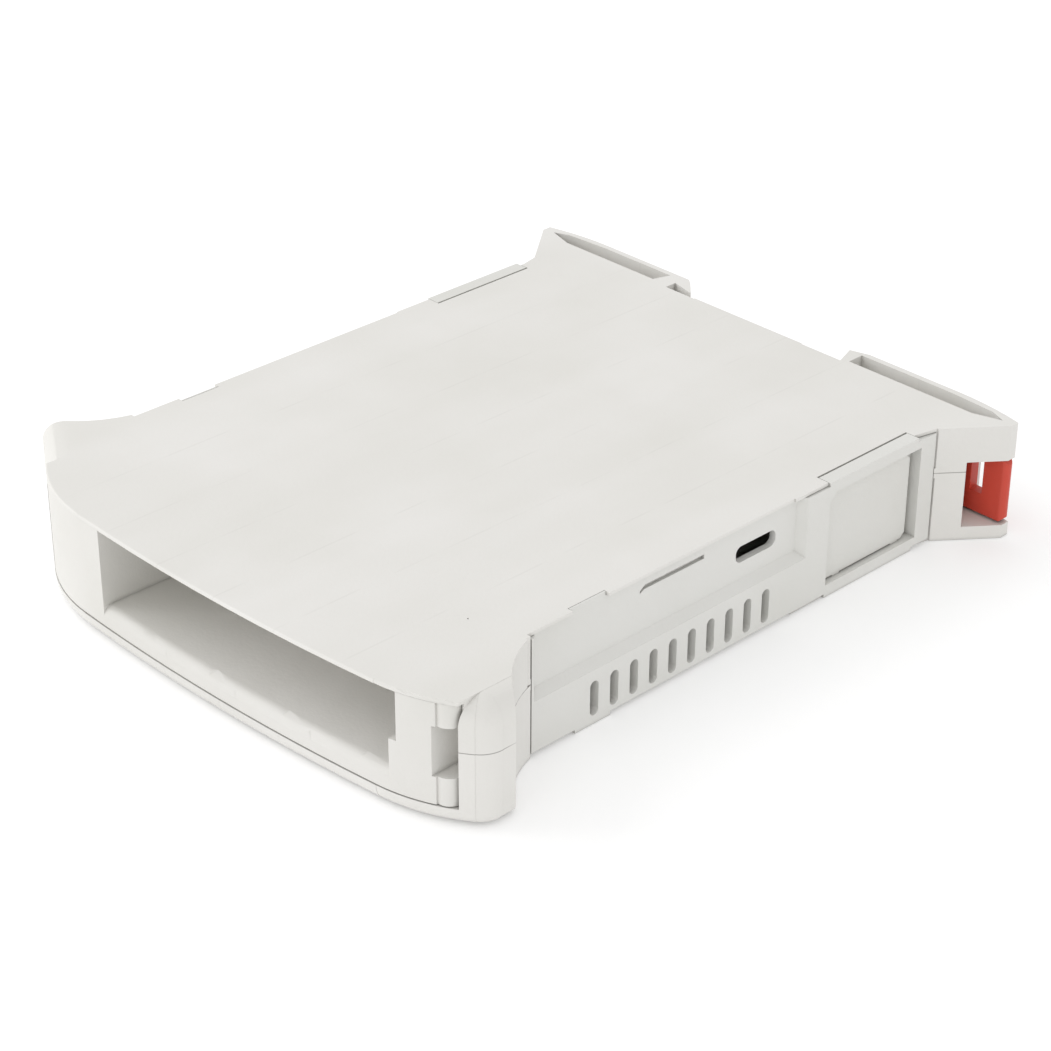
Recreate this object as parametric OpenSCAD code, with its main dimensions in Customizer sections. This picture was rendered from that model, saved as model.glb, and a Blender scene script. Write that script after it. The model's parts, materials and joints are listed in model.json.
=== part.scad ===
// Module enclosure for a 35 mm top-hat rail, lying on one side wall.
// X is the length along the wall of the cabinet, Y the depth (front at -Y, rail at +Y), Z the module width.

/* [Housing] */
// Width of the module along the rail
module_w = 22.5; // [20:0.5:35]
// Length between the outer faces of the two side panels
body_l = 101; // [96:1:130]
// Depth from the front curve to the back of the feet
depth = 140.8; // [134:0.2:170]
// Thickness of the flat walls
plate_t = 1.8; // [1.6:0.1:2.2]
// Thickness of the upright walls
wall_t = 1.8; // [1.4:0.1:2.2]
// Thickness of the thin lips that cover the front piece and the panels
lip_t = 0.6; // [0.5:0.1:0.9]
// Height of the joint between the half shells
part_z = 13.7; // [13:0.1:14.5]
// Gap round the pieces that fit into the shells
gap = 0.2; // [0.1:0.05:0.3]

/* [Front] */
// Radius of the front curve
front_r = 430; // [350:10:600]
// How far the front curve's foremost point lies left of the middle
front_shift = 7.5; // [0:0.5:10]
// Radius of the curves that lead from the front into the wings
wing_r = 32; // [30:0.5:33]
// Distance from the side wall in to where the right wing's curve begins
near_join = 7.5; // [7:0.1:8]
// Distance from the side wall in to where the left wing's curve begins
far_join = 22; // [20:0.5:23]
// Angle of the left wing's straight run to its tip
far_slope = 32.5; // [29:0.5:34]
// Radius of the hollow flank behind a wing
flank_r = 20.8; // [19:0.2:23]
// How far the wings stand out of the side walls
wing_out = 10; // [9.6:0.1:10.2]
// Rounding of the right wing's outer edge, seen from the flat wall
tip_r = 5; // [4.6:0.1:5.4]
// Rounding of the lower front edge
sill_round = 3; // [2.6:0.1:3.2]
// Rounding of the upper front edge
brow_round = 0.4; // [0.2:0.1:0.5]
// Rounding of the wings' upper edges
wing_round = 4.4; // [3.4:0.2:4.4]
// Height of the lower lip in front of the front piece
sill_h = 3.3; // [2.5:0.1:3.6]
// How far the front piece reaches beyond the right side wall
frame_out = 5.7; // [5:0.1:6]
// How far the front piece ends short of the left side wall
frame_in = 4.7; // [4:0.1:6]
// Wall thickness of the front piece
frame_t = 2; // [1.6:0.1:2.4]

/* [Window] */
// Distance from the left side wall to the window
window_left = 28; // [20:0.5:40]
// Distance from the right side wall to the window
window_right = 3.6; // [3.5:0.1:10]
// Floor of the window pocket
window_z = 7.2; // [6:0.1:9]
// Depth of the window pocket behind the front curve
pocket_d = 24; // [15:1:26]
// Wall thickness of the window pocket
pocket_t = 1.5; // [1.2:0.1:1.8]

/* [Hinge] */
// Radius of the hinge knuckles
knuckle_r = 2.6; // [2.2:0.1:2.8]
// Radius of the hinge pins
pin_r = 1; // [0.8:0.1:1.2]
// Radial clearance of the hinge pins
pin_clear = 0.06; // [0.02:0.01:0.1]
// Length of a hinge pin inside its knuckle
pin_l = 3.6; // [2.5:0.1:4]
// Width of the finger notch between the knuckles
notch_w = 3.6; // [3.2:0.1:5]
// Height of the finger notch between the knuckles
notch_h = 9; // [6:0.5:10]

/* [Side panels] */
// Distance from the front curve to the panel
panel_y = 28.4; // [27:0.2:30]
// Distance from the panel's rear end to the back of the feet
panel_rear = 14; // [13.6:0.1:16]
// Thickness of a panel
panel_t = 2.8; // [2.4:0.1:3]
// Depth of the recessed area
recess_d = 1.5; // [0.8:0.1:1.6]
// Lower edge of the recessed area
recess_z = 10.2; // [9:0.1:12]
// Number of vent slots
vent_n = 10; // [4:1:11]
// Spacing of the vent slots
vent_pitch = 4.51; // [3.6:0.01:4.6]
// Width of a vent slot
vent_w = 1.9; // [1.2:0.1:2.4]
// Height of a vent slot
vent_h = 6.5; // [4:0.1:7]
// Length of the connector opening
port_l = 9.8; // [8:0.1:10.5]
// Height of the connector opening
port_h = 3.1; // [2.5:0.1:3.4]
// Length of the terminal opening
term_l = 24.1; // [22:0.1:25]
// Height of the terminal opening
term_h = 17.9; // [15:0.1:18]
// Depth at which the blank cover lies
cover_set = 1.2; // [0.8:0.1:1.3]

/* [Rail feet] */
// Depth of the feet behind the rail seat
foot_d = 5.4; // [5.4:0.1:7]
// How far the feet stand out of the side walls
foot_out = 8.2; // [7.4:0.1:9]
// Thickness of the thin back wall of the feet
rim_t = 1.2; // [1:0.1:1.4]
// Where the fixed hook ends at the rail seat
hook_x = -16.4; // [-20:0.1:-14]
// Where the latch foot ends at the rail seat
latch_foot_x = 21.2; // [20:0.1:24]
// Depth of the open pockets in the feet
pocket_z = 5.5; // [3:0.5:5.5]

/* [Rail latch] */
// Thickness of the latch
latch_t = 2.2; // [1.8:0.1:2.4]
// Travel of the latch
latch_travel = 5; // [4:0.5:5]
// How far the nose stands out of its foot
nose_l = 7; // [5:0.5:8]
// Radius of the latch spring
spring_r = 1.75; // [1.4:0.05:1.8]
// Radius of the spring wire
wire_r = 0.25; // [0.2:0.05:0.3]
// Turns of the spring
spring_turns = 9; // [6:1:12]

/* [Hidden] */
$fn = 96;

shell_colour = [0.89, 0.88, 0.86];
frame_colour = [0.87, 0.86, 0.84];
panel_colour = [0.86, 0.86, 0.83];
cover_colour = [0.84, 0.84, 0.81];
latch_colour = [0.75, 0.2, 0.15];
steel_colour = [0.6, 0.6, 0.62];

fine = 360;                // facets of the wide front curve
step = 0.05;               // each curve of the front lies this little behind the one before it
over = 1;                  // how far cutters reach past what they cut
side_x = body_l / 2;
front_y = -depth / 2;
back_y = depth / 2;
seat_y = back_y - foot_d;
seat_relief = 0.25;        // how far the seat lies back under the hook and under the latch's nose
panel_l = depth - panel_y - panel_rear;
panel_y0 = front_y + panel_y;
panel_y1 = panel_y0 + panel_l;
foot_tip = side_x + foot_out;
window_x0 = window_left - side_x;
window_x1 = side_x - window_right;

// Each wing's curve touches the front curve from inside, so both share one tangent where they meet.
// Both wings are described to the right; the left one is then mirrored.
front_cy = front_y + front_r;
near_x = side_x - near_join;
far_x = side_x - far_join;
near_a = asin((near_x + front_shift) / front_r);
far_a = asin((far_x - front_shift) / front_r);
near_c = [near_x - wing_r * sin(near_a), front_cy - (front_r - wing_r) * cos(near_a)];
far_c = [far_x - wing_r * sin(far_a), front_cy - (front_r - wing_r) * cos(far_a)];
near_tip = side_x + wing_out;
far_tip = near_tip - 3 * step;
tip_c = [near_tip - tip_r,
         near_c[1] - sqrt(pow(wing_r - tip_r, 2) - pow(near_tip - tip_r - near_c[0], 2))];
tip_a = atan2(tip_c[0] - near_c[0], near_c[1] - tip_c[1]);
flank_dy = 5.6;            // how far the flank's centre lies behind the front end of the panel
flank_c = [side_x + sqrt(flank_r * flank_r - flank_dy * flank_dy), panel_y0 + flank_dy];

// The knuckle touches the front face of the front piece from inside.
wall_band = 22;            // depth of the turned band along the front
frame_set = 0.15;          // how far the front piece lies behind the front curve
frame_right = side_x + frame_out;
frame_left = frame_in - side_x;
knuckle_x = frame_right - 0.4 - knuckle_r;
knuckle_y = near_c[1] - sqrt(pow(wing_r - frame_set - knuckle_r, 2) - pow(knuckle_x - near_c[0], 2));
frame_z0 = sill_h + gap;
frame_z1 = module_w - lip_t - 0.1;
notch_z = (frame_z0 + frame_z1) / 2 - notch_h / 2 + 0.4;
leg_d = 6;                 // depth of the front piece's left end behind its face
far_end_y = far_c[1] - sqrt(pow(wing_r - frame_set, 2) - pow(-frame_left - far_c[0], 2));

// Notches of the lips: [start, length, depth], counted from the front of the panel.
lip_set = 0.75;
tab_notches = [[9.7, 8.1, 1.9], [panel_l - 28.5, 23.6, 3.1]];
shell_tab = [panel_l - 36.7, 5.9, 0.3];   // the shell's own tab: start, length, reach past the lip
panel_band = panel_t + gap;     // width of the step that the panel lies in

term_y = panel_y1 - term_l - 4.1;
recess_l = term_y - panel_y0 - 6.4;   // length of the recessed area
term_z = 2.4;
ledge = 1;                      // width of the ledge that the blank cover lies on
sleeve_d = 6;
cover_t = 1.1;

latch_y = seat_y + 1.6;
latch_z0 = 3;
latch_z1 = 15.2;
channel_z0 = 2.6;
channel_z1 = 15.6;
outlet_x = side_x + 0.1;        // where the foot is cut away round the latch's end
outlet_y = panel_y1 + 4.5;
spring_y = (seat_y + back_y - rim_t) / 2;
spring_z = 7.4;
spring_x0 = latch_foot_x + 3;
spring_x1 = spring_x0 + 16.4;
post_t = 1.6;
bay_z = 11.4;                   // top of the open bay in the latch that holds the spring
peg_x = side_x - 14.5;
peg_places = [[-peg_x, panel_y0 + 10], [peg_x, panel_y0 + 10], [-peg_x, panel_y1 - 16], [peg_x, panel_y1 - 16]];
peg_r = 1.2;
post_r = 2.6;

// ---------- shared outlines, seen along Z ----------

// The front curve and both wings, drawn in by a margin.
module front_plan(inset) {
    intersection() {
        translate([-front_shift, front_cy])
            circle(r = front_r - inset, $fn = fine);
        translate([-far_x, front_y])
            square([far_x + near_x, panel_y]);
    }
    difference() {
        intersection() {
            translate(near_c)
                circle(r = wing_r - inset);
            translate([near_x, front_y])
                square([near_tip - inset - near_x, panel_y]);
        }
        translate(flank_c)
            circle(r = flank_r + inset);
    }
    mirror([1, 0])
        difference() {
            far_wing_plan(inset);
            translate(flank_c)
                circle(r = flank_r + inset);
        }
}

// The left wing, drawn to the right: a curve and then a straight run that crosses it just before its end.
module far_wing_plan(inset) {
    r = wing_r - inset;
    x1 = far_c[0] + (r - 0.02) * sin(far_slope);
    y1 = far_c[1] - (r - 0.02) * cos(far_slope);
    x2 = far_tip - inset;
    intersection() {
        translate(far_c)
            circle(r = r);
        translate([far_x, front_y])
            square([x1 + 1.4 - far_x, panel_y]);
    }
    polygon([[x1, y1], [x2, y1 + (x2 - x1) * tan(far_slope)], [x2, panel_y0], [far_x + 2, panel_y0],
             [far_x + 2, y1 + 6]]);
}

// The back with both feet: the right one for the latch, the left one with the fixed hook.
module back_plan() {
    arc_r = 60;
    arc_x = 44;
    difference() {
        polygon([
            [side_x, panel_y1 - over], [side_x, panel_y1], [foot_tip, seat_y + 1.7],
            [foot_tip, back_y], [latch_foot_x + 2.3, back_y], [latch_foot_x - 1.6, back_y - 1.1],
            [latch_foot_x, seat_y - seat_relief], [latch_foot_x - 2.6 - nose_l, seat_y - seat_relief],
            [latch_foot_x - 2.6 - nose_l, seat_y], [hook_x, seat_y], [hook_x - 4.2, back_y - 1.1],
            [hook_x - 5.6, back_y], [-foot_tip, back_y], [-foot_tip, seat_y + 1.7],
            [-side_x, panel_y1], [-side_x, panel_y1 - over]
        ]);
        hook_slot();
        for (side = [-1, 1])
            scale([side, 1])
                difference() {
                    translate([arc_x, back_y - 8])
                        square([20, 9]);
                    translate([arc_x, back_y - arc_r])
                        circle(r = arc_r, $fn = fine);
                }
    }
}

// The wedge-shaped slot in the fixed hook that takes the edge of the rail.
module hook_slot() {
    floor_y = seat_y - seat_relief;
    polygon([[hook_x + over, floor_y], [hook_x + over, seat_y + 2.6], [hook_x - 1.5, seat_y + 1.2],
             [hook_x - 6.4, seat_y + 2.4], [hook_x - 6.4, floor_y]]);
}

// What is cut out of a shell beside a panel: the lip's edge with its notches.
module lip_edge() {
    translate([side_x - lip_set, panel_y0 - 0.1])
        square([lip_set + over, shell_tab[0] + 0.1]);
    translate([side_x - lip_set + shell_tab[2], panel_y0 + shell_tab[0] - over])
        square([lip_set + over, shell_tab[1] + 2 * over + 2]);
    translate([side_x, panel_y0])
        polygon([[-1.3, tab_notches[1][0] + 2], [over, tab_notches[1][0] + 2], [over, panel_l + 0.2],
                 [-0.2, panel_l + 0.2], [-1.3, tab_notches[1][0] + tab_notches[1][1]]]);
    for (notch = tab_notches)
        translate([side_x - notch[2], panel_y0 + notch[0]])
            square([notch[2] + over, notch[1]]);
}

// The hollow of a foot behind the rail seat.
module foot_hollow(x0) {
    translate([x0, seat_y])
        square([outlet_x - x0, foot_d - rim_t]);
}

// The pocket that is open at the upper wall, with tapered ends.
module foot_pocket(x0, slant) {
    polygon([[x0, seat_y + 0.6], [side_x + 0.3, seat_y + 0.6], [foot_tip - 2.4, seat_y + 2.3],
             [foot_tip - 5.6, seat_y + 3.6], [side_x - 6.5, back_y - rim_t], [x0 - slant, back_y - rim_t]]);
}

// A rectangle with cut corners, given from the lower left corner anticlockwise.
module cut_rect(l, h, cuts) {
    polygon([[cuts[0], 0], [l - cuts[1], 0], [l, cuts[1]], [l, h - cuts[2]], [l - cuts[2], h],
             [cuts[3], h], [0, h - cuts[3]], [0, cuts[0]]]);
}

// A slot with round ends, upright or lying.
module slot_shape(l, h, r) {
    translate([r, 0])
        square([l - 2 * r, h]);
    translate([0, r])
        square([l, h - 2 * r]);
    for (x = [r, l - r], z = [r, h - r])
        translate([x, z])
            circle(r = r);
}

// ---------- half shells ----------

// Section of a wall from the axis outwards, its lower outer corner rounded.
module round_section(inner, outer, h, r) {
    difference() {
        translate([inner, 0])
            square([outer - inner, h]);
        difference() {
            translate([outer - r, -over])
                square([r + over, r + over]);
            translate([outer - r, r])
                circle(r = r);
        }
    }
}

// The outer form of a half shell, with its flat wall at z = 0 and its joint at z = h.
module shell_form(h, front_round, tip_round) {
    difference() {
        union() {
            curved_wall([-front_shift, front_cy], front_r, -far_a, near_a, h, front_round, wall_band, fine);
            near_wing(h, front_round, tip_round);
            mirror([1, 0, 0])
                far_wing(h, front_round, tip_round);
            linear_extrude(h) {
                translate([-side_x, panel_y0 - 1.4])
                    square([body_l, panel_l + 1.4 + over]);
                translate([9 - far_x, front_y + 13])
                    square([far_x + near_x - 12, panel_y - 12]);
                mirror([1, 0])
                    polygon([[far_x - 9, panel_y0], [far_x - 9, front_y + 13], [far_x + 12, front_y + 13],
                             [far_x + 17, panel_y0]]);
            }
        }
        for (side = [-1, 1])
            scale([side, 1, 1])
                flank_cut(h);
    }
    linear_extrude(h)
        back_plan();
}

// A part of the front wall along one curve, its lower outer edge rounded.
module curved_wall(centre, r, a0, a1, h, round, depth, facets) {
    translate([centre[0], centre[1], 0])
        rotate([0, 0, a0 - 90])
            rotate_extrude(angle = a1 - a0, $fn = facets)
                round_section(max(r - depth, 0), r, h, round);
}

// A straight part of the front wall from a point on, heading off at an angle to X.
module straight_wall(start, angle, l, h, round, depth) {
    translate([start[0], start[1], 0])
        rotate([0, 0, angle])
            rotate([90, 0, 90])
                linear_extrude(l)
                    mirror([1, 0])
                        translate([-depth, 0])
                            round_section(0, depth, h, round);
}

// The right wing before its flank is cut; its upper edge is rounder beyond the front piece.
module near_wing(h, front_round, tip_round) {
    split_x = frame_right + gap;
    if (front_round == tip_round)
        near_curves(h, tip_round);
    else {
        wing_piece(near_c[0] - 2, split_x, h)
            curved_wall(near_c, wing_r - step, near_a, tip_a, h, front_round, wing_r - step, 2 * fine);
        linear_extrude(h)
            polygon([[near_x - 5, panel_y0 - 1], [near_x - 5, near_c[1] - 8], [split_x, tip_c[1] - 1.5],
                     [split_x, panel_y0 - 1]]);
        wing_piece(split_x, near_tip + over, h)
            near_curves(h, tip_round);
    }
}

module near_curves(h, round) {
    curved_wall(near_c, wing_r - step, near_a, tip_a, h, round, wing_r - step, 2 * fine);
    curved_wall(tip_c, tip_r - 2 * step, tip_a, 90, h, round, tip_r - 2 * step, 96);
    straight_wall([near_tip - 3 * step, tip_c[1]], 90, panel_y0 - tip_c[1] - 0.05, h, round, 20);
}

// The left wing before its flank is cut, drawn to the right.
module far_wing(h, front_round, tip_round) {
    split_x = gap - frame_left;
    r = wing_r - step;
    start = [far_c[0] + (r - step) * sin(far_slope), far_c[1] - (r - step) * cos(far_slope)];
    curved_wall(far_c, r, far_a, far_slope, h, front_round, r, 2 * fine);
    if (front_round == tip_round)
        wing_piece(far_x, far_tip, h)
            straight_wall(start, far_slope, 24, h + over, tip_round, 24);
    else {
        wing_piece(far_x, split_x, h)
            straight_wall(start, far_slope, 24, h + over, front_round, 24);
        wing_piece(split_x, far_tip, h)
            straight_wall(start, far_slope, 24, h + over, tip_round, 24);
    }
}

module wing_piece(x0, x1, h) {
    intersection() {
        union()
            children();
        translate([x0, front_y - over, 0])
            cube([x1 - x0, panel_y + over - 0.05, h]);
    }
}

module flank_cut(h) {
    intersection() {
        translate([flank_c[0], flank_c[1], -over])
            cylinder(r = flank_r, h = h + 2 * over);
        translate([side_x - 5, front_y, -over])
            cube([40, panel_y, h + 2 * over]);
    }
}

// The hollow of a half shell above its flat wall; the ends of the wings stay solid.
module shell_hollow() {
    intersection() {
        front_plan(wall_t);
        translate([-side_x + 0.5, front_y])
            square([body_l - 1, panel_y + over]);
    }
    translate([-side_x - over, panel_y0 - 0.01])
        square([body_l + 2 * over, panel_l + 0.01]);
    translate([-side_x + wall_t + 0.5, panel_y1 - over])
        square([body_l - 2 * wall_t - 1, seat_y - wall_t - panel_y1 + over]);
}

// What the front piece needs: the band along the front, above the lip, and room for its ends.
module front_band() {
    inset = frame_set + frame_t + gap;
    x0 = frame_left - gap;
    difference() {
        translate([x0, front_y - over])
            square([frame_right + gap - x0, knuckle_y - front_y + over]);
        intersection() {
            translate([-front_shift, front_cy])
                circle(r = front_r - inset, $fn = fine);
            translate([-far_x, front_y])
                square([far_x + near_x, panel_y]);
        }
        intersection() {
            translate(near_c)
                circle(r = wing_r - inset);
            translate([near_x - 0.01, front_y])
                square([near_tip - near_x, panel_y]);
        }
        mirror([1, 0])
            intersection() {
                translate(far_c)
                    circle(r = wing_r - inset);
                translate([far_x - 0.01, front_y])
                    square([far_tip - far_x, panel_y]);
            }
    }
    translate([knuckle_x, knuckle_y])
        circle(r = knuckle_r + gap);
    translate([x0, front_y])
        square([frame_t + 2 * gap, far_end_y + leg_d + gap - front_y]);
}

module half_shell(h, front_round, tip_round, seat_h, sealed) {
    difference() {
        shell_form(h, front_round, tip_round);
        translate([0, 0, plate_t])
            linear_extrude(h)
                shell_hollow();
        translate([0, 0, seat_h])
            linear_extrude(h)
                front_band();
        for (side = [-1, 1])
            scale([side, 1, 1]) {
                translate([0, 0, -over])
                    linear_extrude(h)
                        lip_edge();
                translate([side_x - panel_band, panel_y0 - 0.01, lip_t])
                    cube([panel_band + over, panel_l + 0.02, h]);
            }
        for (side = [-1, 1])
            scale([side, 1, 1])
                translate([0, 0, sealed])
                    linear_extrude(h)
                        foot_hollow(latch_foot_x + 1.4);
    }
}

module top_shell() {
    h = module_w - part_z;
    color(shell_colour)
        translate([0, 0, module_w])
            mirror([0, 0, 1]) {
                difference() {
                    half_shell(h, brow_round, wing_round, lip_t, module_w - channel_z1);
                    translate([0, 0, -over])
                        linear_extrude(pocket_z + over) {
                            foot_pocket(latch_foot_x + 1.4, 0);
                            scale([-1, 1])
                                foot_pocket(10.7 - hook_x, 1.2);
                        }
                    translate([outlet_x, outlet_y, module_w - channel_z1])
                        cube([20, 20, h]);
                    nose_way(module_w - channel_z1, h);
                    for (place = peg_places)
                        translate([place[0], place[1], h - 6])
                            cylinder(r = peg_r + 0.05, h = 7);
                }
                translate([knuckle_x, knuckle_y, lip_t - 0.1])
                    cylinder(r = pin_r, h = pin_l + 0.2);
                for (place = peg_places)
                    peg_socket(place, h);
                for (x = [-30, -10, 10, 30])
                    translate([x - 0.5, panel_y0 + 6, plate_t - 0.1])
                        cube([1, panel_l - 8, 1.3]);
            }
}

module peg_socket(place, h) {
    translate([place[0], place[1], plate_t - 0.1])
        difference() {
            cylinder(r = post_r, h = h - plate_t + 0.1);
            translate([0, 0, 1.4])
                cylinder(r = peg_r + 0.05, h = h);
        }
}

// The way out of the latch foot for the nose of the latch.
module nose_way(z0, h) {
    translate([latch_foot_x - 3, seat_y + 1.1, z0])
        cube([6, foot_d - rim_t - 1.1, h]);
}

module bottom_shell() {
    h = part_z;
    color(shell_colour) {
        difference() {
            half_shell(h, sill_round, sill_round, sill_h, channel_z0);
            translate([outlet_x, outlet_y, channel_z0])
                cube([20, 20, h]);
            nose_way(channel_z0, h);
        }
        translate([knuckle_x, knuckle_y, plate_t - 0.1])
            cylinder(r = knuckle_r - 0.4, h = sill_h - plate_t + 0.1);
        translate([knuckle_x, knuckle_y, plate_t])
            cylinder(r = pin_r, h = frame_z0 - plate_t + pin_l);
        for (place = peg_places)
            translate([place[0], place[1], plate_t - 0.1]) {
                cylinder(r = post_r, h = h - plate_t + 0.1);
                cylinder(r = peg_r, h = h - plate_t + 4);
            }
        board_rails();
        spring_post();
        for (x = [spring_x0 - 1.5, side_x - 4])
            translate([x, seat_y - 0.1, channel_z0 - 0.1])
                cube([1.2, latch_y - seat_y - 0.2, h - channel_z0 + 0.1]);
    }
}

// Two ribbed rails that a circuit board rests on.
module board_rails() {
    rail_h = 5;
    for (x = [-24, 24])
        translate([x - 0.6, panel_y0 + 6, plate_t - 0.1]) {
            cube([1.2, panel_l - 8, rail_h]);
            for (i = [0 : 3])
                translate([-1.5, 6 + i * 24, 0])
                    cube([4.2, 1.2, rail_h - 1]);
        }
}

// The post that the latch spring bears on.
module spring_post() {
    translate([spring_x1, spring_y - spring_r, channel_z0 - 0.1])
        cube([post_t, 2 * spring_r, bay_z - 0.4 - channel_z0]);
}

// ---------- front piece ----------

module front_frame() {
    color(frame_colour)
        difference() {
            union() {
                frame_wall();
                window_pocket();
            }
            window_cut();
            sill_rounding();
            translate([frame_right - notch_w, knuckle_y - 6, notch_z])
                cube([6, 12, notch_h]);
            for (z = [frame_z0 - over, frame_z1 - pin_l - 0.3])
                translate([knuckle_x, knuckle_y, z])
                    cylinder(r = pin_r + pin_clear, h = pin_l + 0.3 + over);
        }
}

module frame_wall() {
    translate([0, 0, frame_z0])
        linear_extrude(frame_z1 - frame_z0) {
            difference() {
                intersection() {
                    front_plan(frame_set);
                    translate([frame_left, front_y])
                        square([knuckle_x - frame_left, knuckle_y - front_y]);
                }
                front_plan(frame_set + frame_t);
            }
            translate([knuckle_x, knuckle_y])
                circle(r = knuckle_r);
            translate([frame_left, far_end_y + 1])
                square([frame_t, leg_d - 1]);
        }
}

// The deep pocket behind the window, open towards the upper wall.
module window_pocket() {
    floor_z = window_z - pocket_t;
    pocket_y = front_y + pocket_d;
    intersection() {
        translate([window_x0 - pocket_t, front_y, floor_z])
            cube([window_x1 - window_x0 + 2 * pocket_t, pocket_d + pocket_t,
                  module_w - plate_t - gap - floor_z]);
        linear_extrude(module_w) {
            front_plan(frame_set + frame_t / 2);
            translate([window_x0 - pocket_t - over, pocket_y - over])
                square([window_x1 - window_x0 + 2 * pocket_t + 2 * over, 3 + over]);
        }
    }
}

module window_cut() {
    pocket_y = front_y + pocket_d;
    difference() {
        translate([window_x0, front_y - over, window_z])
            cube([window_x1 - window_x0, pocket_d + over, module_w]);
        translate([window_x1 - 1.4, front_y, 0])
            cube([2, 7, 13]);
    }
}

// Rounds the upper front edge of the rail below the window.
module sill_rounding() {
    r = 1.8;
    edge = front_r - frame_set;
    a0 = asin((window_x0 + front_shift + 0.01) / front_r);
    a1 = asin((window_x1 + front_shift - 1.41) / front_r);
    translate([-front_shift, front_cy, window_z - r])
        rotate([0, 0, a0 - 90])
            rotate_extrude(angle = a1 - a0, $fn = fine)
                difference() {
                    translate([edge - r, 0])
                        square([r + over, r + over]);
                    translate([edge - r, 0])
                        circle(r = r);
                }
}

// ---------- side panels and their blank covers ----------

// The right-hand panel; the left-hand one is its mirror image.
module panel() {
    z0 = lip_t + gap / 2;
    z1 = module_w - z0;
    difference() {
        union() {
            translate([side_x - panel_t, panel_y0 + gap, z0])
                cube([panel_t, panel_l - 2 * gap, z1 - z0]);
            for (tab = tab_notches)
                translate([side_x - min(tab[2], panel_t) + gap / 2, panel_y0 + tab[0] + gap / 2, 0])
                    cube([min(tab[2], panel_t) - gap / 2, tab[1] - gap, module_w]);
            panel_sleeve();
        }
        recess();
        vents();
        port();
        hook_groove();
        terminal_opening();
    }
}

module panel_sleeve() {
    translate([side_x - sleeve_d, term_y - 0.4, plate_t + gap])
        cube([sleeve_d - panel_t + 0.1, term_l + 0.8, module_w - 2 * (plate_t + gap)]);
}

// The recessed area, with sloped borders at its lower edge and both ends, open at the top.
module recess() {
    slope = 1.4;
    face = side_x + 0.01;
    floor_x = side_x - recess_d;
    y0 = panel_y0 + 0.7;
    intersection() {
        translate([0, y0 - over, 0])
            rotate([90, 0, 0])
                mirror([0, 0, 1])
                    linear_extrude(recess_l + 2 * over)
                        polygon([[floor_x, recess_z + slope], [face, recess_z],
                                 [face, module_w + over], [floor_x, module_w + over]]);
        linear_extrude(module_w + over)
            difference() {
                polygon([[floor_x, y0 + slope], [face, y0], [face, y0 + recess_l],
                         [floor_x, y0 + recess_l - slope]]);
                for (tab = [tab_notches[0]])
                    translate([floor_x - over, panel_y0 + tab[0]])
                        square([0.01, 0.01]);
            }
    }
}

module vents() {
    y0 = panel_y0 + 13.1;
    for (i = [0 : vent_n - 1])
        side_cut(y0 + i * vent_pitch, 1.6)
            slot_shape(vent_w, vent_h, vent_w / 2 - 0.01);
}

module port() {
    side_cut(term_y - 21.9, recess_z + 4.6)
        slot_shape(port_l, port_h, 1.3);
}

// Cuts a shape, drawn with its length along Y and its height along Z, through a panel.
module side_cut(y, z) {
    translate([side_x - panel_t - over, y, z])
        rotate([90, 0, 90])
            linear_extrude(panel_t + 2 * over)
                children();
}

// The thin slot under the upper edge of the recessed area.
module hook_groove() {
    translate([side_x - recess_d - 0.6, panel_y0 + recess_l * 0.4, module_w - 3.3])
        rotate([90, 0, 90])
            linear_extrude(2)
                polygon([[0, -0.5], [1, 0], [15, 0], [15, 0.8], [1.2, 0.8], [0, 0]]);
}

module terminal_opening() {
    translate([side_x - cover_set - cover_t, term_y, term_z])
        rotate([90, 0, 90])
            linear_extrude(cover_set + cover_t + over)
                cut_rect(term_l, term_h, [0, 0, 0, 1.6]);
    translate([side_x - sleeve_d - over, term_y + ledge, term_z + ledge])
        cube([sleeve_d + over, term_l - 2 * ledge, term_h - 2 * ledge]);
}

module blank_cover() {
    clear = 0.3;
    face = side_x - cover_set;
    hook_y = [term_y + 3.2, term_y + term_l - 5.2];
    translate([face - cover_t, term_y + clear, term_z + clear])
        rotate([90, 0, 90])
            linear_extrude(cover_t)
                cut_rect(term_l - 2.2 - 2 * clear + 1, term_h - 2 * clear, [0.3, 1, 1.6, 1.6]);
    for (y = hook_y) {
        translate([face - cover_t, y, term_z + 0.05])
            cube([cover_t, 1.8, term_h - 0.1]);
        cover_hooks(y, face);
    }
}

// The two snap hooks of a blank cover at one place, one at each long edge.
module cover_hooks(y, face) {
    arm = sleeve_d - cover_set - cover_t + 0.2;
    z_low = term_z + ledge + 0.15;
    z_high = term_z + term_h - ledge - 0.15;
    for (hook = [[z_low, 1], [z_high, -1]])
        translate([face - cover_t, y, hook[0]])
            rotate([90, 0, 0])
                mirror([0, 0, 1])
                    linear_extrude(1.8)
                        polygon([[0.1, 0], [0.1, hook[1]], [-arm - 1.2, hook[1]], [-arm - 1.2, 0],
                                 [-arm - 0.1, -0.6 * hook[1]], [-arm, -0.6 * hook[1]], [-arm, 0]]);
}

module near_panel() {
    color(panel_colour)
        panel();
}

module far_panel() {
    color(panel_colour)
        mirror([1, 0, 0])
            panel();
}

module near_blank_cover() {
    color(cover_colour)
        blank_cover();
}

module far_blank_cover() {
    color(cover_colour)
        mirror([1, 0, 0])
            blank_cover();
}

// ---------- rail latch ----------

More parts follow.
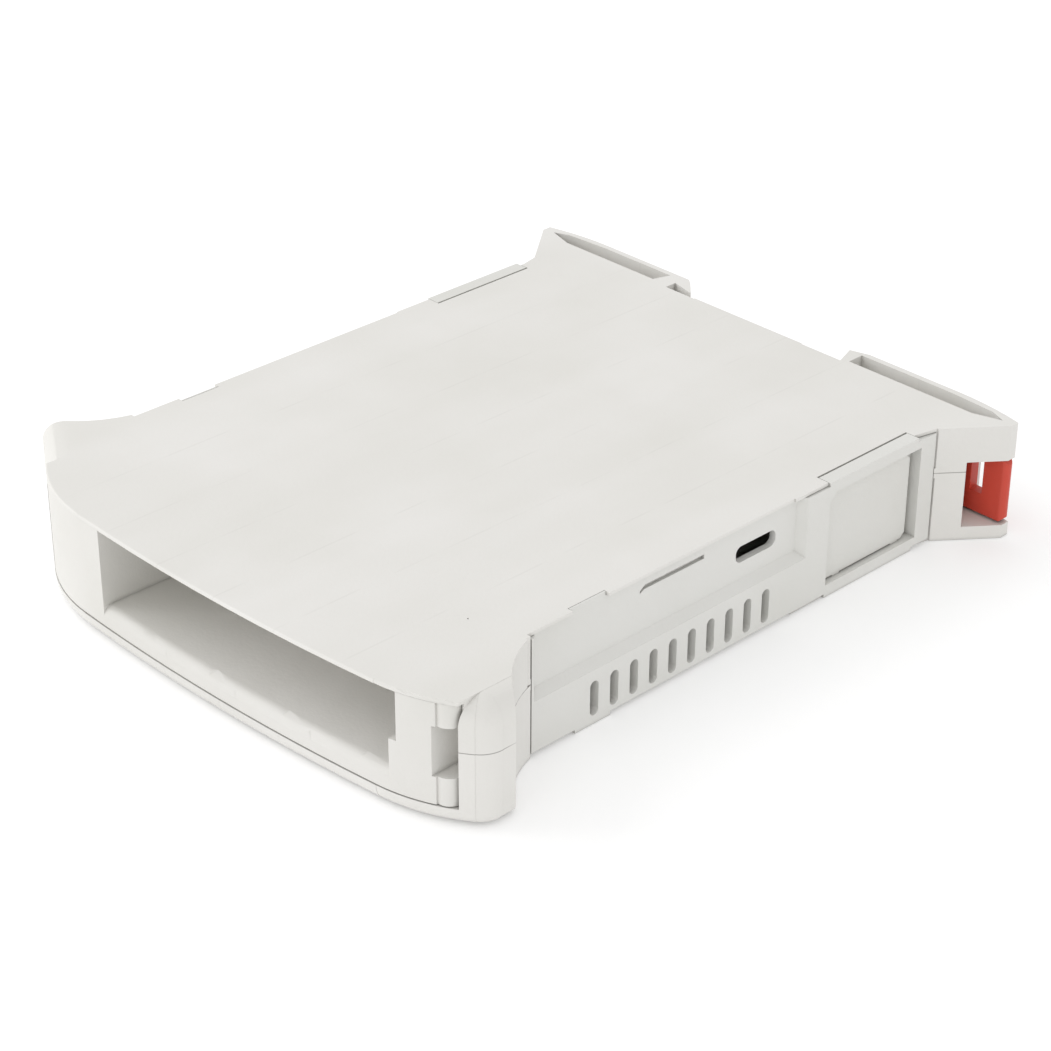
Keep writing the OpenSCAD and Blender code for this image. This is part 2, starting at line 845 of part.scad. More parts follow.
module rail_latch() {
    nose_x = latch_foot_x - 1.6 - nose_l;
    color(latch_colour)
        difference() {
            intersection() {
                translate([0, 0, latch_z0])
                    linear_extrude(latch_z1 - latch_z0)
                        latch_plan(nose_x);
                translate([0, latch_y + latch_t, 0])
                    rotate([90, 0, 0])
                        linear_extrude(2 * latch_t)
                            translate([nose_x, latch_z0])
                                cut_rect(foot_tip - nose_x, latch_z1 - latch_z0, [0, 0.8, 0.8, 0]);
            }
            translate([spring_x0, latch_y - over, latch_z0 - over])
                cube([spring_x1 + post_t + 0.3 - spring_x0, latch_t + 2 * over, bay_z - latch_z0 + over]);
            translate([side_x + 0.6, latch_y - over, 7])
                cube([2.6, latch_t + 2 * over, 6.6]);
        }
}

// Outline of the latch: a bar with a slanted nose and a rounded outer end.
module latch_plan(nose_x) {
    polygon([[nose_x, latch_y], [foot_tip - latch_t / 2, latch_y], [foot_tip - latch_t / 2, latch_y + latch_t],
             [nose_x + 4, latch_y + latch_t], [nose_x, latch_y + 0.7]]);
    translate([foot_tip - latch_t / 2, latch_y + latch_t / 2])
        circle(r = latch_t / 2);
}

// One closed tube swept along a helix, its end turns flat against the seats.
module latch_spring() {
    sides = 8;
    steps = 18;
    coil_r = spring_r - wire_r;
    x0 = spring_x0 + wire_r;
    x1 = spring_x1 - wire_r;
    pitch = (x1 - x0 - 4 * wire_r) / (spring_turns - 2);
    n = spring_turns * steps;
    path = [for (i = [0 : n]) spring_point(i / steps, coil_r, x0, x1, pitch)];
    points = [for (i = [0 : n]) each ring(path[i], 360 * i / steps, sides)];
    ends = [[for (k = [sides - 1 : -1 : 0]) k], [for (k = [0 : sides - 1]) n * sides + k]];
    skin = [for (i = [0 : n - 1], k = [0 : sides - 1])
        [i * sides + k, i * sides + (k + 1) % sides, (i + 1) * sides + (k + 1) % sides, (i + 1) * sides + k]];
    color(steel_colour)
        polyhedron(points = points, faces = concat(ends, skin));
}

// A point of the helix after a number of turns: one close turn at each end, open turns between.
function spring_point(turn, r, x0, x1, pitch) =
    let (first = min(turn, 1), last = max(turn - spring_turns + 1, 0), open = turn - first - last)
    [x0 + (first + last) * 2 * wire_r + open * pitch, spring_y + r * cos(360 * turn), spring_z + r * sin(360 * turn)];

// A ring of the wire, lying in the plane through the spring's axis.
function ring(centre, turn, sides) =
    [for (k = [0 : sides - 1])
        let (a = -360 * k / sides)
        centre + wire_r * [cos(a), sin(a) * cos(turn), sin(a) * sin(turn)]];

top_shell();
bottom_shell();
front_frame();
near_panel();
far_panel();
near_blank_cover();
far_blank_cover();
rail_latch();
latch_spring();
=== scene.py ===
import json
import logging
import math
from dataclasses import dataclass, field
from enum import Enum
from typing import Iterable, Optional, Sequence, Union

import bpy
from mathutils import Matrix, Vector

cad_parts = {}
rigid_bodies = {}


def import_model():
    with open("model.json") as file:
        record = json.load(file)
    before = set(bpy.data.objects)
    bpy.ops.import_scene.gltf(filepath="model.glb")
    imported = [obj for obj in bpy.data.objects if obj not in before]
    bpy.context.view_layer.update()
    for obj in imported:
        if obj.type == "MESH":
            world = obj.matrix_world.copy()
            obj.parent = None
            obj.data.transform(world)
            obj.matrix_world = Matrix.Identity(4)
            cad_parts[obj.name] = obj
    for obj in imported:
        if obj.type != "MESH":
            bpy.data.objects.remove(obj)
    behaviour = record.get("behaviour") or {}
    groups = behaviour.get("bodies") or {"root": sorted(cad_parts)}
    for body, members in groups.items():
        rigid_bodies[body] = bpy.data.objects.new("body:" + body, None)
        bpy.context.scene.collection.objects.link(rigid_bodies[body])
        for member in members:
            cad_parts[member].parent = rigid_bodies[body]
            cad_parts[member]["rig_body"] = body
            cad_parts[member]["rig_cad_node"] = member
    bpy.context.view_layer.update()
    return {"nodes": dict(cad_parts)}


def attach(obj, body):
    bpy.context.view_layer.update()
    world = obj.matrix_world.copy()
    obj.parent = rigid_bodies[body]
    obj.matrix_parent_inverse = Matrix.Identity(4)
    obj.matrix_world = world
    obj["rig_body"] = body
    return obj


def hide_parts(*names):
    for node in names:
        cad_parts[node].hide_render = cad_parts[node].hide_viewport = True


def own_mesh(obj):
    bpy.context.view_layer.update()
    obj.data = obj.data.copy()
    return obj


log = logging.getLogger("rail_module")

Number = Union[int, float]
MM = 0.001


# ---------------------------------------------------------------------------------------------
# Shader sockets
# ---------------------------------------------------------------------------------------------


class Sock:
    """An output socket that can be used in sums, so that shader maths reads like arithmetic."""

    def __init__(self, graph: "Graph", socket: bpy.types.NodeSocket) -> None:
        """Keeps the graph that the socket belongs to.

        Args:
            graph: the material graph that makes further nodes.
            socket: the output that this object stands for.
        """
        self.graph = graph
        self.socket = socket

    def _math(self, operation: str, *others: "Value", swap: bool = False) -> "Sock":
        """Makes one Math node from this socket and other values.

        Args:
            operation: Blender's name of the operation.
            others: the further operands.
            swap: whether this socket comes last.

        Returns:
            The node's result.
        """
        values: list[Value] = [self, *others]
        if swap:
            values.reverse()
        return self.graph.math(operation, *values)

    def __add__(self, other: "Value") -> "Sock":
        """Sum."""
        return self._math("ADD", other)

    def __radd__(self, other: "Value") -> "Sock":
        """Sum with a number on the left."""
        return self._math("ADD", other)

    def __sub__(self, other: "Value") -> "Sock":
        """Difference."""
        return self._math("SUBTRACT", other)

    def __rsub__(self, other: "Value") -> "Sock":
        """Difference with a number on the left."""
        return self._math("SUBTRACT", other, swap=True)

    def __mul__(self, other: "Value") -> "Sock":
        """Product."""
        return self._math("MULTIPLY", other)

    def __rmul__(self, other: "Value") -> "Sock":
        """Product with a number on the left."""
        return self._math("MULTIPLY", other)

    def __abs__(self) -> "Sock":
        """Absolute value."""
        return self._math("ABSOLUTE")


Value = Union[Sock, Number]


class Graph:
    """Node graph of one material, built through wrapped sockets."""

    def __init__(self, name: str) -> None:
        """Starts an empty material.

        Args:
            name: the material's name.
        """
        self.material = bpy.data.materials.new(name)
        self.material.use_nodes = True
        self.tree = self.material.node_tree
        self.tree.nodes.clear()

    def node(self, kind: str, inputs: Optional[dict] = None, **settings: object) -> bpy.types.Node:
        """Adds a node, sets its properties and fills or links its inputs.

        Args:
            kind: Blender's node type.
            inputs: input name or index to a value or a wrapped socket.
            settings: node properties.

        Returns:
            The new node.
        """
        made = self.tree.nodes.new(kind)
        for key, value in settings.items():
            setattr(made, key, value)
        for key, value in (inputs or {}).items():
            target = made.inputs[key]
            if isinstance(value, Sock):
                self.tree.links.new(value.socket, target)
            else:
                target.default_value = value
        return made

    def out(self, node: bpy.types.Node, name: Union[str, int] = 0) -> Sock:
        """Wraps one output of a node."""
        return Sock(self, node.outputs[name])

    def math(self, operation: str, *values: Value) -> Sock:
        """Adds a Math node.

        Args:
            operation: Blender's name of the operation.
            values: up to three operands.

        Returns:
            The node's result.
        """
        return self.out(self.node("ShaderNodeMath", dict(enumerate(values)), operation=operation))

    def ramp(self, value: Value, low: Value, high: Value, to_low: Value = 0.0, to_high: Value = 1.0) -> Sock:
        """Maps a range smoothly onto another and clamps it.

        Args:
            value: what is mapped.
            low: start of the source range.
            high: end of the source range.
            to_low: result at the start.
            to_high: result at the end.

        Returns:
            The mapped value.
        """
        inputs = {"Value": value, "From Min": low, "From Max": high, "To Min": to_low, "To Max": to_high}
        return self.out(self.node("ShaderNodeMapRange", inputs, clamp=True))

    def mix(self, share: Value, first: object, second: object) -> Sock:
        """Mixes two colours.

        Args:
            share: how much of the second colour shows.
            first: colour or socket at share 0.
            second: colour or socket at share 1.

        Returns:
            The mixed colour.
        """
        made = self.node("ShaderNodeMix", data_type="RGBA")
        for index, value in ((0, share), (6, first), (7, second)):
            if isinstance(value, Sock):
                self.tree.links.new(value.socket, made.inputs[index])
            else:
                made.inputs[index].default_value = value
        return self.out(made, 2)

    def place(self, stretch: Sequence[Number] = (1, 1, 1)) -> Sock:
        """Object coordinates, stretched along the axes."""
        coordinates = self.out(self.node("ShaderNodeTexCoord"), "Object")
        mapping = self.node("ShaderNodeMapping", {"Vector": coordinates, "Scale": tuple(stretch)})
        return self.out(mapping)

    def noise(self, where: Sock, scale: Number, detail: Number = 2.0, rough: Number = 0.5) -> Sock:
        """Noise with a mean of about one half.

        Args:
            where: coordinates.
            scale: how fine it is.
            detail: number of octaves.
            rough: weight of the finer octaves.

        Returns:
            The noise value.
        """
        inputs = {"Vector": where, "Scale": scale, "Detail": detail, "Roughness": rough}
        return self.out(self.node("ShaderNodeTexNoise", inputs), 0)

    def axis(self, where: Sock, index: int) -> Sock:
        """One component of a vector socket."""
        return self.out(self.node("ShaderNodeSeparateXYZ", {0: where}), index)


# ---------------------------------------------------------------------------------------------
# Finishes
# ---------------------------------------------------------------------------------------------


class Grain(Enum):
    """Texture of the mould that a plastic piece comes from."""

    SPARK_ERODED = "spark eroded"
    POLISHED = "polished"


@dataclass(frozen=True)
class Plastic:
    """Injection-moulded plastic with a mould grain, faint sink marks and painted shade in the corners.

    Attributes:
        name: the material's name.
        colour: mean colour of the pigment.
        roughness: mean roughness.
        grain: texture of the mould.
        sink: strength of the long, shallow sink marks.
        corner_shade: strength of the painted shade that darkens the corners and recesses.
        specular: strength of the gloss.
        ribs: X places of the ribs behind the wall, if it has any.
        seam: height of the parting line, or 0 for none.
    """

    name: str
    colour: tuple[float, float, float]
    roughness: float = 0.5
    grain: Grain = Grain.SPARK_ERODED
    sink: float = 0.3
    corner_shade: float = 0.62
    specular: float = 0.4
    ribs: tuple[float, ...] = ()
    seam: float = 0.0

    SEAM_CORE = 0.04 * MM
    SEAM_EDGE = 0.11 * MM
    RIB_CORE = 0.05 * MM
    RIB_EDGE = 0.28 * MM
    RIB_STRENGTH = 0.11
    CORNER_REACH = 1.1 * MM
    SINK_DEPTH = 1.2 * MM

    def build(self) -> bpy.types.Material:
        """Makes the material."""
        g = Graph(self.name)
        where = g.place()
        colour = self._colour(g, where)
        rough = self._roughness(g, where)
        normal = self._normal(g, where)
        shader = g.node(
            "ShaderNodeBsdfPrincipled",
            {"Base Color": colour, "Roughness": rough, "Normal": normal},
        )
        shader.inputs["Specular IOR Level"].default_value = self.specular
        g.node("ShaderNodeOutputMaterial", {"Surface": g.out(shader)})
        return g.material

    def _colour(self, g: Graph, where: Sock) -> Sock:
        """Base colour: flow marks, cloudy pigment, the parting line and painted shade in the corners and recesses."""
        r, gr, b = self.colour
        light = (min(r * 1.025, 1), min(gr * 1.025, 1), min(b * 1.03, 1), 1)
        deep = (r * 0.965, gr * 0.965, b * 0.955, 1)
        cloud = g.noise(where, 38, 3)
        flow = g.noise(g.place((22, 3.5, 12)), 3.0, 2)
        body = g.mix(g.ramp(cloud * 0.6 + flow * 0.4, 0.36, 0.64), deep, light)
        speck = g.ramp(g.noise(where, 2300, 1), 0.66, 0.76) * 0.05
        body = g.mix(speck, body, (r * 0.82, gr * 0.81, b * 0.78, 1))
        if self.ribs:
            body = g.mix(self._rib_marks(g, where), body, (r * 0.6, gr * 0.6, b * 0.58, 1))
        if self.seam:
            off = abs(g.axis(where, 2) - self.seam)
            worn = g.ramp(g.noise(where, 120, 2), 0.36, 0.5, 0.25, 0.75)
            line = g.ramp(off, self.SEAM_CORE, self.SEAM_EDGE, 1.0, 0.0)
            body = g.mix(line * worn, body, (r * 0.2, gr * 0.19, b * 0.18, 1))
        # Painted shade: ambient occlusion darkens the colour in corners and recesses, where shade falls, in noisy
        # patches.
        corner = g.node("ShaderNodeAmbientOcclusion", {"Distance": self.CORNER_REACH}, samples=8)
        painted_shade_mask = g.ramp(1 - g.out(corner, "AO"), 0.12, 0.85)
        patchy = g.ramp(g.noise(where, 160, 3), 0.3, 0.7, 0.75, 1.0)
        return g.mix(painted_shade_mask * patchy * self.corner_shade, body, (r * 0.22, gr * 0.21, b * 0.19, 1))

    def _roughness(self, g: Graph, where: Sock) -> Sock:
        """Roughness: the grain scatters, handled places are a little smoother."""
        handled = g.noise(where, 26, 3, 0.6)
        fine = g.noise(where, 900, 2)
        return self.roughness + (handled - 0.5) * 0.14 + (fine - 0.5) * 0.08

    def _normal(self, g: Graph, where: Sock) -> Sock:
        """Surface relief: the mould's grain over long, shallow sink marks."""
        grain_scale, grain_depth = (1500, 0.07 * MM) if self.grain is Grain.SPARK_ERODED else (420, 0.02 * MM)
        sink = g.noise(g.place((38, 5, 30)), 1.0, 1.5)
        low = g.node(
            "ShaderNodeBump",
            {"Height": sink, "Strength": self.sink, "Distance": self.SINK_DEPTH},
        )
        pits = g.noise(where, grain_scale, 2, 0.6)
        high = g.node(
            "ShaderNodeBump",
            {"Height": pits, "Strength": 0.5, "Distance": grain_depth, "Normal": g.out(low)},
        )
        return g.out(high)

    def _rib_marks(self, g: Graph, where: Sock) -> Union[Sock, float]:
        """Faint, broken sink lines over the ribs on the hidden side of a broad wall.

        Args:
            g: the material's graph.
            where: the surface point.

        Returns:
            The strength of the marks, from 0 to RIB_STRENGTH.
        """
        across = g.axis(where, 0)
        marks: Union[Sock, float] = 0.0
        for index, place in enumerate(self.ribs):
            off = abs(across - place)
            broken = g.ramp(g.noise(g.place((90, 60 + 9 * index, 1)), 1.0, 2), 0.44, 0.56)
            marks = g.ramp(off, self.RIB_CORE, self.RIB_EDGE, self.RIB_STRENGTH, 0.0) * broken + marks
        return marks


@dataclass(frozen=True)
class SpringWire:
    """Drawn spring wire with fine lengthwise marks."""

    name: str = "spring_wire"
    colour: tuple[float, float, float] = (0.52, 0.53, 0.55)

    def build(self) -> bpy.types.Material:
        """Makes the material."""
        g = Graph(self.name)
        where = g.place()
        scale = g.noise(where, 900, 3)
        r, gr, b = self.colour
        tint = g.mix(g.ramp(scale, 0.35, 0.7), (r, gr, b, 1), (r * 0.7, gr * 0.68, b * 0.66, 1))
        relief = g.node("ShaderNodeBump", {"Height": scale, "Strength": 0.3, "Distance": 0.02 * MM})
        shader = g.node(
            "ShaderNodeBsdfPrincipled",
            {"Base Color": tint, "Roughness": 0.28 + scale * 0.2, "Normal": g.out(relief)},
        )
        shader.inputs["Metallic"].default_value = 1.0
        g.node("ShaderNodeOutputMaterial", {"Surface": g.out(shader)})
        return g.material


@dataclass(frozen=True)
class PaperSweep:
    """Matt white paper that the module lies on."""

    name: str = "paper_sweep"
    shade: float = 0.86
    glow: float = 0.2

    def build(self) -> bpy.types.Material:
        """Makes the material."""
        g = Graph(self.name)
        fibre = g.noise(g.place(), 420, 3)
        valley = (self.shade * 0.995,) * 3 + (1,)
        tint = g.mix(g.ramp(fibre, 0.3, 0.7), valley, (self.shade,) * 3 + (1,))
        relief = g.node("ShaderNodeBump", {"Height": fibre, "Strength": 0.06, "Distance": 0.1 * MM})
        shader = g.node("ShaderNodeBsdfPrincipled", {"Base Color": tint, "Normal": g.out(relief)})
        shader.inputs["Roughness"].default_value = 0.9
        shader.inputs["Specular IOR Level"].default_value = 0.1
        shader.inputs["Emission Color"].default_value = (1, 1, 1, 1)
        shader.inputs["Emission Strength"].default_value = self.glow
        g.node("ShaderNodeOutputMaterial", {"Surface": g.out(shader)})
        return g.material


@dataclass
class Palette:
    """The finishes of the module, made once and shared by its pieces.

    Attributes:
        rib_places: X places of the ribs behind the flat walls, in mm.
        parting_z: height of the joint between the half shells.
    """

    rib_places: tuple[float, ...] = (-34, -20, -6, 8, 22, 36)
    parting_z: float = 13.7 * MM
    shell: bpy.types.Material = field(init=False)
    front: bpy.types.Material = field(init=False)
    panel: bpy.types.Material = field(init=False)
    cover: bpy.types.Material = field(init=False)
    latch: bpy.types.Material = field(init=False)
    wire: bpy.types.Material = field(init=False)
    paper: bpy.types.Material = field(init=False)

    def __post_init__(self) -> None:
        """Builds every finish."""
        self.shell = Plastic(
            "shell_grey",
            (0.735, 0.722, 0.692),
            ribs=tuple(place * MM for place in self.rib_places),
            seam=self.parting_z,
        ).build()
        self.front = Plastic("front_grey", (0.715, 0.703, 0.672), roughness=0.46).build()
        self.panel = Plastic("panel_grey", (0.70, 0.695, 0.665), roughness=0.48).build()
        self.cover = Plastic("cover_grey", (0.69, 0.685, 0.652), roughness=0.47).build()
        # The red latch gets weaker painted shade in its corners.
        self.latch = Plastic(
            "latch_red", (0.58, 0.06, 0.035), roughness=0.4, grain=Grain.POLISHED, sink=0.15, corner_shade=0.2
        ).build()
        self.wire = SpringWire().build()
        self.paper = PaperSweep().build()


# ---------------------------------------------------------------------------------------------
# Workshop: editing tools
# ---------------------------------------------------------------------------------------------


class Bench:
    """Common work on meshes, done with Blender's operators."""

    @staticmethod
    def pick(obj: bpy.types.Object) -> None:
        """Makes one object the only selected and active one."""
        bpy.ops.object.select_all(action="DESELECT")
        obj.select_set(True)
        bpy.context.view_layer.objects.active = obj

    @staticmethod
    def apply(obj: bpy.types.Object, kind: str, **settings: object) -> None:
        """Adds a modifier and applies it at once.

        Args:
            obj: the object to change.
            kind: Blender's modifier type.
            settings: the modifier's properties.
        """
        Bench.pick(obj)
        modifier = obj.modifiers.new("step", kind)
        for key, value in settings.items():
            setattr(modifier, key, value)
        bpy.ops.object.modifier_apply(modifier=modifier.name)

    @staticmethod
    def smooth(obj: bpy.types.Object, angle: float = 30.0) -> None:
        """Shades a mesh smooth below an angle between its faces."""
        Bench.pick(obj)
        bpy.ops.object.shade_smooth_by_angle(angle=math.radians(angle))

    @staticmethod
    def twin(node: bpy.types.Object, name: str, join: float = 2e-6) -> bpy.types.Object:
        """A clean editable copy of a CAD node: corners merged, flat faces joined.

        Args:
            node: the CAD node's object.
            name: the name of the copy.
            join: corners nearer to each other than this become one.

        Returns:
            The copy, with a mesh of its own.
        """
        made = node.copy()
        made.data = node.data.copy()
        made.name = name
        made.data.name = name
        made.parent = None
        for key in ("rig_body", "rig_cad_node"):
            if key in made:
                del made[key]
        bpy.context.scene.collection.objects.link(made)
        made.data.materials.clear()
        Bench.pick(made)
        bpy.ops.object.mode_set(mode="EDIT")
        bpy.ops.mesh.select_all(action="SELECT")
        bpy.ops.mesh.remove_doubles(threshold=join)
        bpy.ops.mesh.dissolve_limited(angle_limit=math.radians(0.15))
        bpy.ops.object.mode_set(mode="OBJECT")
        if made.data.has_custom_normals:
            bpy.ops.mesh.customdata_custom_splitnormals_clear()
        return made

    @staticmethod
    def soften(obj: bpy.types.Object, width: float, segments: int = 2, angle: float = 35.0) -> None:
        """Breaks the sharp edges of a moulding with small roundings.

        Args:
            obj: the object to change.
            width: width of a rounding.
            segments: facets of a rounding.
            angle: edges sharper than this are rounded.
        """
        Bench.apply(
            obj,
            "BEVEL",
            width=width,
            segments=segments,
            limit_method="ANGLE",
            angle_limit=math.radians(angle),
            use_clamp_overlap=True,
            harden_normals=False,
            miter_outer="MITER_ARC",
            loop_slide=False,
        )

    @staticmethod
    def level(obj: bpy.types.Object) -> None:
        """Keeps broad faces flat in shading, so that only the roundings turn the light."""
        Bench.apply(obj, "WEIGHTED_NORMAL", mode="FACE_AREA", weight=80, keep_sharp=True)

    @staticmethod
    def dress(obj: bpy.types.Object, material: bpy.types.Material) -> None:
        """Gives the whole object one finish."""
        obj.data.materials.clear()
        obj.data.materials.append(material)


@dataclass
class Moulding:
    """A moulded piece whose form comes from the solid, with softened edges and a finish.

    Attributes:
        node: the solid that it stands for.
        name: name of the finished piece.
        body: the body that it rides on.
        slot: name of a material slot; not used.
        material: its finish.
        edge: width of the roundings along its edges.
        level: whether broad faces are kept flat in shading.
    """

    node: str
    name: str
    body: str
    slot: str
    material: bpy.types.Material
    edge: float = 0.15 * MM
    level: bool = True

    def build(self, nodes: dict[str, bpy.types.Object]) -> bpy.types.Object:
        """Copies the solid, softens its edges, dresses it and seats it on its body.

        Args:
            nodes: the CAD nodes by name.

        Returns:
            The finished piece.
        """
        piece = Bench.twin(nodes[self.node], self.name)
        Bench.soften(piece, self.edge)
        Bench.smooth(piece)
        if self.level:
            Bench.level(piece)
        Bench.dress(piece, self.material)
        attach(piece, self.body)
        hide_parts(self.node)
        log.info("%s: %d faces", self.name, len(piece.data.polygons))
        return piece


# ---------------------------------------------------------------------------------------------
# Sub-assemblies
# ---------------------------------------------------------------------------------------------


@dataclass
class HalfShells:
    """The two half shells with the feet and the fixed hook."""

    palette: Palette
    edge: float = 0.12 * MM

    def build(self, nodes: dict[str, bpy.types.Object]) -> list[bpy.types.Object]:
        """Makes both half shells."""
        return [
            Moulding(
                node, f"{node}_skin", "housing", "shell_plastic", self.palette.shell, self.edge, level=False
            ).build(nodes)
            for node in ("top_shell", "bottom_shell")
        ]


@dataclass
class FrontPiece:
    """The hinged front piece with its window pocket."""

    palette: Palette
    edge: float = 0.2 * MM

    def build(self, nodes: dict[str, bpy.types.Object]) -> list[bpy.types.Object]:
        """Makes the front piece."""
        return [
            Moulding(
                "front_frame", "front_frame_skin", "front", "front_plastic", self.palette.front, self.edge
            ).build(nodes)
        ]


@dataclass
class SidePanels:
    """The two side panels and their blank covers."""

    palette: Palette
    edge: float = 0.12 * MM

    def build(self, nodes: dict[str, bpy.types.Object]) -> list[bpy.types.Object]:
        """Makes the panels and covers on both sides."""
        made = []
        for side in ("near", "far"):
            panel = f"{side}_panel"
            cover = f"{side}_blank_cover"
            made.append(
                Moulding(panel, f"{panel}_skin", "housing", "panel_plastic", self.palette.panel, self.edge).build(nodes)
            )
            made.append(
                Moulding(cover, f"{cover}_skin", "housing", "cover_plastic", self.palette.cover, self.edge).build(nodes)
            )
        return made


@dataclass
class CoilSpring:
    """A compression spring with closed ends, wound along X.

    Attributes:
        material: the wire's finish.
        wire: radius of the wire.
        turns: open turns.
        end_turns: close turns at each end.
        steps: points of the winding in each turn.
    """

    material: bpy.types.Material
    wire: float = 0.24 * MM
    turns: float = 7.0
    end_turns: float = 1.5
    steps: int = 28

    def build(self, node: bpy.types.Object) -> bpy.types.Object:
        """Winds the spring into the space of the CAD node that it replaces.

        Args:
            node: the CAD node of the spring.

        Returns:
            The coil.
        """
        low, high = self._box(node)
        middle = (low + high) / 2
        radius = min(high.y - low.y, high.z - low.z) / 2 - self.wire
        first = low.x + self.wire
        last = high.x - self.wire
        points = self._path(first, last, middle, radius)
        bpy.ops.object.select_all(action="DESELECT")
        bpy.ops.curve.primitive_nurbs_path_add(location=(0, 0, 0))
        curve = bpy.context.object
        curve.name = "latch_coil"
        spline = curve.data.splines[0]
        spline.points.add(len(points) - len(spline.points))
        for point, place in zip(spline.points, points):
            point.co = (*place, 1)
        spline.use_endpoint_u = True
        spline.order_u = 3
        spline.resolution_u = 2
        curve.data.bevel_depth = self.wire
        curve.data.bevel_resolution = 3
        curve.data.use_fill_caps = True
        Bench.pick(curve)
        bpy.ops.object.convert(target="MESH")
        coil = bpy.context.object
        Bench.smooth(coil, 60)
        Bench.dress(coil, self.material)
        return coil

    @staticmethod
    def _box(node: bpy.types.Object) -> tuple[Vector, Vector]:
        """Corners of the node's box in the shared frame."""
        corners = [node.matrix_world @ vertex.co for vertex in node.data.vertices]
        low = Vector(min(corner[axis] for corner in corners) for axis in range(3))
        high = Vector(max(corner[axis] for corner in corners) for axis in range(3))
        return low, high

    def _path(self, first: float, last: float, middle: Vector, radius: float) -> list[Vector]:
        """Points of the winding, its end turns closed up.

        Args:
            first: X of the first turn.
            last: X of the last turn.
            middle: a point on the axis.
            radius: radius of the winding.

        Returns:
            The points in order.
        """
        closed = self.end_turns * self.wire * 2.1
        whole = self.turns + 2 * self.end_turns
        count = int(whole * self.steps)
        points = []
        for index in range(count + 1):
            turn = whole * index / count
            if turn < self.end_turns:
                x = first + closed * turn / self.end_turns
            elif turn > whole - self.end_turns:
                x = last - closed * (whole - turn) / self.end_turns
            else:
                x = first + closed + (last - first - 2 * closed) * (turn - self.end_turns) / self.turns
            angle = math.tau * turn
            points.append(Vector((x, middle.y + radius * math.cos(angle), middle.z + radius * math.sin(angle))))
        return points


@dataclass
class RailLatch:
    """The red latch and its spring.

    Attributes:
        palette: the finishes.
        edge: width of the roundings along the latch's edges.
        spring_keep: share of its length that the spring keeps when the latch is drawn out; not used.
        spring_anchor: X of the spring's fixed end; not used.
    """

    palette: Palette
    edge: float = 0.2 * MM
    spring_keep: float = 0.695
    spring_anchor: float = 40.6 * MM

    def build(self, nodes: dict[str, bpy.types.Object]) -> list[bpy.types.Object]:
        """Makes the latch and the spring that it presses."""
        latch = Moulding(
            "rail_latch", "rail_latch_skin", "latch", "latch_plastic", self.palette.latch, self.edge
        ).build(nodes)
        coil = CoilSpring(self.palette.wire).build(nodes["latch_spring"])
        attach(coil, "housing")
        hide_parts("latch_spring")
        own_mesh(coil)
        return [latch, coil]


# ---------------------------------------------------------------------------------------------
# Studio
# ---------------------------------------------------------------------------------------------


@dataclass(frozen=True)
class SoftBox:
    """A square soft lamp that faces the module.

    Attributes:
        name: name of the lamp.
        place: where it stands.
        size: side of the square.
        power: watts.
    """

    name: str
    place: tuple[float, float, float]
    size: float
    power: float

    def build(self, target: Vector) -> None:
        """Makes the lamp.

        Args:
            target: the point that it faces.
        """
        data = bpy.data.lights.new(self.name, "AREA")
        data.shape = "SQUARE"
        data.size = self.size
        data.energy = self.power
        lamp = bpy.data.objects.new(self.name, data)
        lamp.location = self.place
        lamp.rotation_mode = "QUATERNION"
        lamp.rotation_quaternion = (target - Vector(self.place)).to_track_quat("-Z", "Y")
        bpy.context.scene.collection.objects.link(lamp)


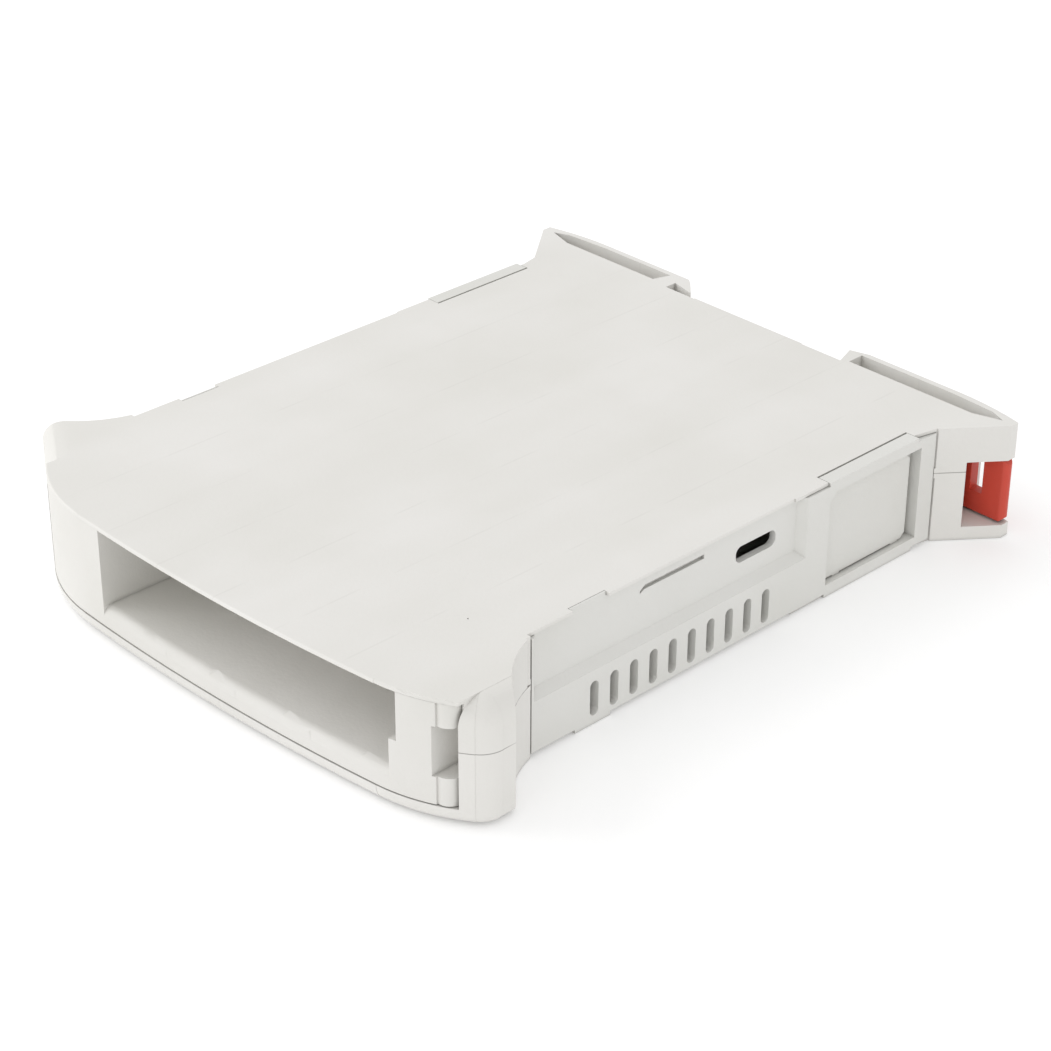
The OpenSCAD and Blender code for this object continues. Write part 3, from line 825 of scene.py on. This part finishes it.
@dataclass
class Studio:
    """Floor, light and camera.

    Attributes:
        palette: the finishes.
        azimuth: the camera's turn about Z, in degrees.
        elevation: the camera's height angle, in degrees.
        roll: the camera's roll, in degrees.
        lens: focal length in mm.
        eye: where the camera stands.
        floor_size: side of the floor.
        floor_drop: how far the floor lies under the module.
        sky: strength of the even light from all round.
        aim: the point that the lamps face.
        boxes: the lamps.
    """

    palette: Palette
    azimuth: float = 46.069
    elevation: float = 29.785
    roll: float = 0.192
    lens: float = 93.35
    eye: tuple[float, float, float] = (0.303596, -0.287067, 0.243606)
    floor_size: float = 6.0
    floor_drop: float = 0.1 * MM
    sky: float = 0.90
    aim: tuple[float, float, float] = (0, 0, 0.01)
    boxes: tuple[SoftBox, ...] = (
        SoftBox("key", (-1.1, -0.6, 0.75), 1.2, 7.0),
        SoftBox("fill", (0.5, -1.1, 0.6), 1.0, 1.2),
    )

    def build(self) -> None:
        """Makes the whole studio."""
        self._floor()
        self._sky()
        for box in self.boxes:
            box.build(Vector(self.aim))
        self._camera()

    def _floor(self) -> None:
        """The pale floor under the module."""
        bpy.ops.object.select_all(action="DESELECT")
        bpy.ops.mesh.primitive_plane_add(size=self.floor_size, location=(0, 0, -self.floor_drop))
        floor = bpy.context.object
        floor.name = "floor"
        Bench.dress(floor, self.palette.paper)

    def _sky(self) -> None:
        """Even light from all round."""
        world = bpy.data.worlds.new("soft_room")
        world.use_nodes = True
        background = world.node_tree.nodes["Background"]
        background.inputs["Color"].default_value = (1.0, 1.0, 1.0, 1)
        background.inputs["Strength"].default_value = self.sky
        bpy.context.scene.world = world

    def _camera(self) -> None:
        """The camera, with a slight roll."""
        a, e, r = (math.radians(v) for v in (self.azimuth, self.elevation, self.roll))
        right = Vector((math.cos(a), math.sin(a), 0))
        back = Vector((math.sin(a) * math.cos(e), -math.cos(a) * math.cos(e), math.sin(e)))
        up = back.cross(right)
        across = right * math.cos(r) + up * math.sin(r)
        upward = up * math.cos(r) - right * math.sin(r)
        data = bpy.data.cameras.new("camera")
        data.sensor_width = 36
        data.lens = self.lens
        data.clip_start = 0.01
        camera = bpy.data.objects.new("camera", data)
        bpy.context.scene.collection.objects.link(camera)
        turn = Matrix((across, upward, back)).transposed().to_4x4()
        camera.matrix_world = Matrix.Translation(self.eye) @ turn
        bpy.context.scene.camera = camera
        bpy.context.scene.view_settings.view_transform = "Standard"


def main() -> None:
    """Builds the module and the studio."""
    logging.basicConfig(level=logging.INFO, format="%(name)s: %(message)s")
    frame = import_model()
    nodes = frame["nodes"]
    palette = Palette()
    Studio(palette).build()
    for assembly in (HalfShells(palette), FrontPiece(palette), SidePanels(palette), RailLatch(palette)):
        made = assembly.build(nodes)
        log.info("%s: %s", type(assembly).__name__, ", ".join(piece.name for piece in made))
    nodes["latch_spring"].data.materials.clear()
    nodes["latch_spring"].data.materials.append(palette.wire)


if __name__ == "__main__":
    main()
